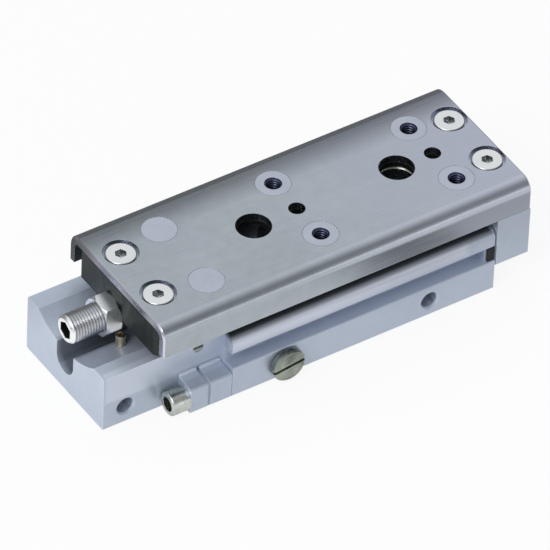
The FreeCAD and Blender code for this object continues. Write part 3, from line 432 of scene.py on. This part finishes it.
def make_place_group():
    """A soft-edged box in the piece's own frame, where a tint such as painted shade or painted light
    goes.
    """
    group, source, result = new_group(
        "soft_box",
        [
            ("Centre", VECTOR, (0, 0, 0)),
            ("Reach", VECTOR, (0.01, 0.01, 0.01)),
            ("Fade", FLOAT, 0.001),
        ],
        [("Mask", FLOAT)],
    )
    away = add(group, "ShaderNodeVectorMath", operation="SUBTRACT")
    put(group, away.inputs[0], add(group, "ShaderNodeTexCoord").outputs["Object"])
    put(group, away.inputs[1], source.outputs["Centre"])
    size = add(group, "ShaderNodeVectorMath", operation="ABSOLUTE")
    put(group, size.inputs[0], away.outputs[0])
    over = add(group, "ShaderNodeVectorMath", operation="SUBTRACT")
    put(group, over.inputs[0], source.outputs["Reach"])
    put(group, over.inputs[1], size.outputs[0])
    parts = add(group, "ShaderNodeSeparateXYZ")
    put(group, parts.inputs[0], over.outputs[0])
    nearest = math_node(group, "MINIMUM", parts.outputs["X"], parts.outputs["Y"])
    nearest = math_node(group, "MINIMUM", nearest, parts.outputs["Z"])
    share = math_node(group, "DIVIDE", nearest, source.outputs["Fade"], True)
    put(group, result.inputs["Mask"], share)
    return group


def make_drift_group():
    """A slow change from one side of a piece to the other."""
    group, source, result = new_group(
        "drift_across",
        [("Axis", VECTOR, (1, 0, 0)), ("From", FLOAT, 0.0), ("To", FLOAT, 0.01)],
        [("Mask", FLOAT)],
    )
    place = add(group, "ShaderNodeVectorMath", operation="DOT_PRODUCT")
    put(group, place.inputs[0], add(group, "ShaderNodeTexCoord").outputs["Object"])
    put(group, place.inputs[1], source.outputs["Axis"])
    start, end = source.outputs["From"], source.outputs["To"]
    share = map_range(group, place.outputs["Value"], start, end, 0.0, 1.0)
    put(group, result.inputs["Mask"], share)
    return group


GRAIN = make_grain_group()
MOTTLE = make_mottle_group()
EDGE_WEAR_AND_HIGHLIGHT = make_edge_group()
CUT = make_cut_group()
SAG = make_sag_group()
THREAD = make_thread_group()
SUNK = make_sunk_group()
DRIFT = make_drift_group()
PLACE = make_place_group()

# How strongly the grain shows in every finish
GRAIN_STRENGTH = 0.6


def bump_node(tree, height, distance, strength, normal):
    bump = add(tree, "ShaderNodeBump")
    bump.inputs["Strength"].default_value = strength
    bump.inputs["Distance"].default_value = distance
    put(tree, bump.inputs["Height"], height)
    if normal is not None:
        put(tree, bump.inputs["Normal"], normal)
    return bump.outputs["Normal"]


def finish_material(
    name,
    dark,
    light,
    metallic,
    roughness,
    stretch=(1, 1, 1),
    grain_scale=1500.0,
    grain_depth=0.004,
    mottle_scale=40.0,
    tints=(),
    relief=(),
):
    """One finish of the object. roughness is the pair it moves between over the grain.

    grain_depth is in mm. tints are (colour, group, output, its settings), laid over the ground
    colour in turn. relief is (distance, strength, group, its settings), for shapes finer than
    the mesh.
    """
    material = bpy.data.materials.new(name)
    material.use_nodes = True
    tree = material.node_tree
    shader = tree.nodes["Principled BSDF"]
    shader.inputs["Metallic"].default_value = metallic
    ground = use_group(tree, MOTTLE, Dark=(*dark, 1), Light=(*light, 1), Scale=mottle_scale)
    colour = ground.outputs["Colour"]
    for tint, group, output, settings in tints:
        mask = use_group(tree, group, **settings).outputs[output]
        colour = mix_colour(tree, mask, colour, (*tint, 1))
    put(tree, shader.inputs["Base Color"], colour)
    normal = None
    for distance, strength, group, settings in relief:
        height = use_group(tree, group, **settings).outputs["Height"]
        normal = bump_node(tree, height, distance, strength, normal)
    grain = use_group(tree, GRAIN, Stretch=stretch, Scale=grain_scale)
    rough = map_range(tree, grain.outputs["Mask"], 0.0, 1.0, roughness[0], roughness[1])
    put(tree, shader.inputs["Roughness"], rough)
    height = grain.outputs["Height"]
    normal = bump_node(tree, height, grain_depth * MM, GRAIN_STRENGTH, normal)
    put(tree, shader.inputs["Normal"], normal)
    return material


def edge_wear_and_highlight_tint(colour, radius, amount):
    """The tint of a piece's edges, for wear and for painted highlights; radius in mm."""
    return (colour, EDGE_WEAR_AND_HIGHLIGHT, "Mask", {"Radius": radius * MM, "Amount": amount})


def drifting(colour, axis, start, end):
    """A tint that comes in along an axis; start and end in mm."""
    return (colour, DRIFT, "Mask", {"Axis": axis, "From": start * MM, "To": end * MM})


def placed(colour, low, high, fade):
    """A tint inside a box; its corners and the width of its fade in mm."""
    centre = tuple((a + b) / 2 * MM for a, b in zip(low, high))
    reach = tuple((b - a) / 2 * MM for a, b in zip(low, high))
    return (colour, PLACE, "Mask", {"Centre": centre, "Reach": reach, "Fade": fade * MM})


def body_tints(pale_edge_wear_and_highlight):
    """The body's edges, with their wear and painted highlight, and the places where light and shade
    are painted into its tone.
    """
    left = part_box("cylinder_body")[0][0] / MM
    # Painted highlight on the bar's top and face
    bar_painted_highlight = placed((0.70, 0.75, 0.86), (-22, -22, 12.6), (45, -17.2, 19), 2.0)
    # Painted shade in the gap under the table's skirt
    painted_shade_under_table = placed((0.10, 0.11, 0.13), (-22, -19.7, 15.6), (52, 0, 20), 1.4)
    # Painted shade in the rear trough under the adjuster
    painted_shade_in_rear_trough = placed((0.20, 0.23, 0.28), (left, -2.5, 2), (-32, 7, 13.5), 1.8)
    # Painted light on the recess wall
    painted_light_on_recess_wall = placed((0.68, 0.74, 0.86), (left, -17, 7), (-19, -12, 17), 1.0)
    # Painted shade on the blocks' tops, under the table
    painted_shade_on_block_tops = placed((0.34, 0.39, 0.48), (-31.5, -18.8, 7.8), (-20.4, -16.8, 8.4), 0.7)
    # Painted highlight along the blocks' back lips
    painted_highlight_on_block_lips = placed((0.86, 0.91, 1.0), (-31.5, -15.4, 7.8), (-20.4, -13.9, 8.4), 0.5)
    # Painted shade in the front port's hole
    painted_shade_in_front_port = placed((0.22, 0.24, 0.27), (31.9, -19.2, 2.6), (35.7, -14, 6.4), 0.5)
    # Painted shade in the rear port's hole
    painted_shade_in_rear_port = placed((0.34, 0.38, 0.41), (-47.4, -13.6, 2.6), (-43.6, -9, 6.4), 0.5)
    return [
        pale_edge_wear_and_highlight, bar_painted_highlight, painted_shade_under_table, painted_shade_in_rear_trough, painted_light_on_recess_wall,
        painted_shade_on_block_tops, painted_highlight_on_block_lips, painted_shade_in_front_port, painted_shade_in_rear_port,
    ]


def adjuster_tints():
    """The adjuster's darker thread behind its bright nose, and painted shade in its socket."""
    low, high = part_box("adjuster_screw")
    back, y, z = low[0] / MM, (low[1] + high[1]) / 2 / MM, (low[2] + high[2]) / 2 / MM
    half = 2.5
    socket_low = (back, y - half, z - half)
    socket_high = (back + 6, y + half, z + half)
    return [
        drifting((0.46, 0.47, 0.49), (1, 0, 0), back + 0.8, back + 0.9),
        # Painted shade in the socket
        placed((0.14, 0.14, 0.15), socket_low, socket_high, 0.3),
    ]


def make_materials():
    """The finishes, by the record's material slots, and the few that only one piece has."""
    table = {}
    # Painted highlight along the body's and end plate's edges, together with their wear
    pale_edge_wear_and_highlight = edge_wear_and_highlight_tint((0.88, 0.93, 1.0), 0.4, 0.9)
    head_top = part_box("rear_block_screws")[1][2]
    insert_thread = {"Axis": (0, 0, 1), "Pitch": 0.7 * MM}
    table["body_anodised"] = finish_material(
        "pale_anodised_body", (0.52, 0.58, 0.69), (0.57, 0.63, 0.75), 0.45, (0.30, 0.42),
        grain_scale=2600.0, mottle_scale=30.0, tints=body_tints(pale_edge_wear_and_highlight),
    )
    table["end_plate_anodised"] = finish_material(
        "pale_anodised_end_plate", (0.51, 0.57, 0.67), (0.56, 0.62, 0.73), 0.45, (0.30, 0.42),
        grain_scale=2600.0, mottle_scale=30.0, tints=[pale_edge_wear_and_highlight],
    )
    table["table_stainless"] = finish_material(
        "satin_stainless_table", (0.45, 0.50, 0.54), (0.52, 0.57, 0.62), 1.0, (0.20, 0.30),
        stretch=(0.03, 1, 1), grain_scale=2400.0, grain_depth=0.002, mottle_scale=22.0,
        tints=[
            # Painted reflection: lighter and more lavender towards the right end
            drifting((0.54, 0.57, 0.67), (1, 0, 0), 0, 60),
            # Painted highlight on the broken edges of the cut ends
            ((0.62, 0.62, 0.70), CUT, "Broken", {}),
            ((0.42, 0.42, 0.48), CUT, "Flat", {}),
        ],
        relief=[(1.0, 1.0, SAG, {"Start": 8.5 * MM, "Fall": 14.0})],
    )
    table["guide_steel"] = finish_material(
        "ground_guide_steel", (0.20, 0.21, 0.18), (0.28, 0.29, 0.25), 1.0, (0.25, 0.40),
        stretch=(0.05, 1, 1), grain_scale=2000.0, mottle_scale=60.0,
        tints=[edge_wear_and_highlight_tint((0.9, 0.9, 0.85), 0.3, 1.0)],
    )
    table["block_steel"] = finish_material(
        "dark_block_steel", (0.03, 0.035, 0.035), (0.05, 0.055, 0.05), 0.9, (0.40, 0.55),
        stretch=(1, 1, 0.1), grain_scale=1800.0, grain_depth=0.02, mottle_scale=90.0,
        tints=[
            # Painted shade: darker on the near side, lighter towards the far side
            drifting((0.08, 0.09, 0.09), (0, 1, 0), -6, 8),
            edge_wear_and_highlight_tint((0.30, 0.32, 0.30), 0.4, 0.9),
        ],
    )
    bright = ((0.84, 0.86, 0.87), (0.90, 0.92, 0.93))
    table["bright_steel"] = finish_material(
        "bright_plated_steel", *bright, 1.0, (0.26, 0.32),
        grain_scale=600.0, grain_depth=0.0, mottle_scale=50.0,
        tints=[edge_wear_and_highlight_tint((1.0, 1.0, 1.0), 0.2, 0.8)],
    )
    table["screw_heads"] = finish_material(
        "plated_screw_heads", (0.90, 0.92, 0.93), (0.97, 0.98, 0.98), 1.0, (0.24, 0.34),
        grain_scale=2500.0, grain_depth=0.0, mottle_scale=150.0,
        # Painted shade in the sockets, below the head tops
        tints=[((0.46, 0.47, 0.48), SUNK, "Mask", {"Top": head_top, "Depth": 0.25 * MM})],
    )
    table["adjuster_thread"] = finish_material(
        "threaded_adjuster", *bright, 1.0, (0.28, 0.38),
        grain_scale=2500.0, grain_depth=0.001, mottle_scale=150.0,
        tints=adjuster_tints(),
    )
    table["plain_steel_screws"] = finish_material(
        "plain_screw_steel", (0.30, 0.31, 0.32), (0.42, 0.43, 0.44), 1.0, (0.32, 0.5),
        grain_scale=2500.0, grain_depth=0.01, mottle_scale=200.0,
        tints=[edge_wear_and_highlight_tint((0.85, 0.85, 0.85), 0.2, 0.9)],
    )
    table["boss_metal"] = finish_material(
        "light_boss_metal", (0.57, 0.61, 0.71), (0.63, 0.67, 0.77), 1.0, (0.30, 0.42),
        grain_scale=3000.0, grain_depth=0.002, mottle_scale=120.0,
        tints=[
            # Painted shade on the thread walls inside the inserts' holes
            ((0.09, 0.10, 0.17), THREAD, "Mask", insert_thread),
            edge_wear_and_highlight_tint((0.34, 0.37, 0.42), 0.3, 0.8),
        ],
        relief=[(0.7 * MM, 0.8, THREAD, insert_thread)],
    )
    table["ball_steel"] = finish_material(
        "polished_ball_steel", (0.70, 0.70, 0.70), (0.80, 0.80, 0.80), 1.0, (0.06, 0.12),
        grain_depth=0.001,
    )
    table["rod_chrome"] = finish_material(
        "chromed_rod", (0.72, 0.72, 0.73), (0.82, 0.82, 0.83), 1.0, (0.08, 0.16),
        stretch=(1, 0.05, 0.05), grain_scale=2500.0, grain_depth=0.001, mottle_scale=60.0,
    )
    table["spring_steel"] = finish_material(
        "blued_spring_steel", (0.08, 0.08, 0.10), (0.16, 0.16, 0.19), 1.0, (0.28, 0.42),
    )
    table["cover_aluminium"] = finish_material(
        "turned_cover_aluminium", (0.55, 0.55, 0.56), (0.68, 0.68, 0.69), 1.0, (0.28, 0.42),
        stretch=(0.1, 1, 1), grain_scale=2500.0, mottle_scale=80.0,
    )
    table["magnet_black"] = finish_material(
        "bonded_magnet", (0.03, 0.03, 0.03), (0.07, 0.07, 0.07), 0.2, (0.5, 0.7),
    )
    table["nickel_brass"] = finish_material(
        "worn_nickel_brass", (0.17, 0.19, 0.16), (0.42, 0.46, 0.40), 1.0, (0.22, 0.40),
        grain_scale=1200.0, grain_depth=0.02, mottle_scale=260.0,
        tints=[edge_wear_and_highlight_tint((0.95, 0.95, 0.84), 0.35, 1.0)],
    )
    table["bolt_metal"] = finish_material(
        "bright_bolt_metal", (0.36, 0.39, 0.36), (0.74, 0.78, 0.74), 1.0, (0.20, 0.36),
        grain_scale=1200.0, grain_depth=0.02, mottle_scale=260.0,
        tints=[edge_wear_and_highlight_tint((1.0, 1.0, 0.93), 0.35, 1.0)],
    )
    table["trough_brass"] = finish_material(
        "bright_brass", (0.50, 0.44, 0.30), (0.86, 0.80, 0.62), 1.0, (0.20, 0.36),
        grain_scale=1200.0, grain_depth=0.01, mottle_scale=400.0,
        tints=[edge_wear_and_highlight_tint((1.0, 0.97, 0.86), 0.2, 1.0)],
    )
    table["cap_resin"] = finish_material(
        "moulded_cap_resin", (0.03, 0.035, 0.035), (0.05, 0.055, 0.055), 0.0, (0.45, 0.6),
    )
    table["black_rubber"] = finish_material(
        "black_rubber", (0.012, 0.012, 0.013), (0.022, 0.022, 0.024), 0.0, (0.6, 0.8),
        grain_scale=1800.0, grain_depth=0.02, mottle_scale=100.0,
    )
    table["grey_gasket"] = finish_material(
        "grey_port_gasket", (0.40, 0.46, 0.56), (0.46, 0.52, 0.62), 0.0, (0.5, 0.7),
        grain_scale=1800.0, grain_depth=0.01, mottle_scale=200.0,
    )
    table["tip_urethane"] = finish_material(
        "tip_urethane", (0.16, 0.10, 0.05), (0.24, 0.15, 0.08), 0.0, (0.35, 0.5),
    )
    return table


# Pieces, their finishes and their meshes


# Pieces whose own finish stands in for their slot's
OWN_FINISH = {
    "rear_block_screws": "screw_heads",
    "end_plate_screws": "screw_heads",
    "adjuster_screw": "adjuster_thread",
    "hollow_bolt": "bolt_metal",
    "trough_screw": "trough_brass",
    "recess_set_screw": "bolt_metal",
}


def finish_of(node):
    return MATERIALS[OWN_FINISH.get(node, slot_of(node))]


def dress_nodes():
    """Gives each CAD node its finish."""
    for part in frame["record"]["subparts"]:
        mesh = frame["nodes"][part["node"]].data
        mesh.materials.clear()
        mesh.materials.append(finish_of(part["node"]))


def slot_of(node):
    parts = frame["record"]["subparts"]
    return next(part["material_slot"] for part in parts if part["node"] == node)


def body_of(node):
    bodies = frame["record"]["behaviour"]["bodies"]
    return next(body for body, members in bodies.items() if node in members)


# Points nearer than this are one, in metres
WELD = 1e-7
# Faces that meet within the first angle are one, and an edge over the second is broken
FLAT_ANGLE = math.radians(0.3)
BROKEN_ANGLE = math.radians(28.0)


def open_copy(node):
    """The CAD node's mesh as one skin of flat faces, ready to be worked."""
    work = bmesh.new()
    work.from_mesh(frame["nodes"][node].data)
    bmesh.ops.remove_doubles(work, verts=work.verts, dist=WELD)
    bmesh.ops.dissolve_limit(work, angle_limit=FLAT_ANGLE, verts=work.verts, edges=work.edges)
    return work


def break_edges(work, width):
    """Rounds the sharp edges by the width in mm."""
    inner = [edge for edge in work.edges if len(edge.link_faces) == 2]
    sharp = [edge for edge in inner if edge.calc_face_angle(0.0) > BROKEN_ANGLE]
    bmesh.ops.bevel(
        work, geom=sharp, offset=width * MM, segments=2, profile=0.5, affect="EDGES",
        clamp_overlap=True,
    )


def turn_thread(work, node, start, end, pitch, depth):
    """Cuts thread turns into the barrel of a screw that lies along X; sizes in mm.

    start and end are measured from the screw's outer end. The barrel is cut into rings half a
    pitch apart, and every second ring is drawn in by the depth.
    """
    low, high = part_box(node)
    y = (low[1] + high[1]) / 2
    z = (low[2] + high[2]) / 2
    radius = (high[2] - low[2]) / 2
    step = pitch / 2 * MM
    first = low[0] + start * MM
    rings = int((end - start) * MM / step)
    for ring in range(rings + 1):
        geom = work.verts[:] + work.edges[:] + work.faces[:]
        place = (first + ring * step, y, z)
        bmesh.ops.bisect_plane(work, geom=geom, dist=WELD, plane_co=place, plane_no=(1, 0, 0))
    for vert in work.verts:
        ring = (vert.co.x - first) / step
        out = Vector((0, vert.co.y - y, vert.co.z - z))
        on_ring = abs(ring - round(ring)) < 0.01 and 0 < ring < rings
        if on_ring and round(ring) % 2 and out.length > 0.95 * radius:
            vert.co -= out.normalized() * depth * MM
    work.normal_update()


def stand_in(work, node, sharp_angle=35.0):
    """Puts a worked copy on its node's body, in its finish, in place of the node.

    Edges under the sharp angle, in degrees, are shaded smooth.
    """
    for face in work.faces:
        face.smooth = True
    for edge in work.edges:
        edge.smooth = edge.calc_face_angle(0.0) < math.radians(sharp_angle)
    mesh = bpy.data.meshes.new(node + "_dressed")
    work.to_mesh(mesh)
    work.free()
    mesh.materials.clear()
    mesh.materials.append(finish_of(node))
    piece = bpy.data.objects.new(mesh.name, mesh)
    bpy.context.scene.collection.objects.link(piece)
    even = piece.modifiers.new("even_normals", "WEIGHTED_NORMAL")
    even.keep_sharp = True
    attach(piece, body_of(node))
    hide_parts(node)


make_camera()
make_lights()
make_world()
make_floor()
MATERIALS = make_materials()
dress_nodes()

# How far each visible piece's edges are broken, in mm
BROKEN_EDGES = {
    "cylinder_body": 0.25,
    "end_plate": 0.3,
    "table_plate": 0.10,
    "rear_block": 0.2,
    "adjuster_lock_nut": 0.12,
    "port_plug": 0.12,
    "hollow_bolt": 0.15,
    "trough_screw": 0.08,
    "recess_set_screw": 0.06,
    "axial_port_block": 0.2,
    "axial_port_plate": 0.2,
    "rear_block_screws": 0.12,
    "end_plate_screws": 0.12,
    "thread_inserts": 0.12,
    "blank_bosses": 0.10,
}
for node, width in BROKEN_EDGES.items():
    skin = open_copy(node)
    break_edges(skin, width)
    stand_in(skin, node)

adjuster = open_copy("adjuster_screw")
break_edges(adjuster, 0.1)
turn_thread(adjuster, "adjuster_screw", start=0.9, end=8.4, pitch=0.75, depth=0.35)
stand_in(adjuster, "adjuster_screw", sharp_angle=20.0)

scene = bpy.context.scene
scene.view_settings.view_transform = "Standard"
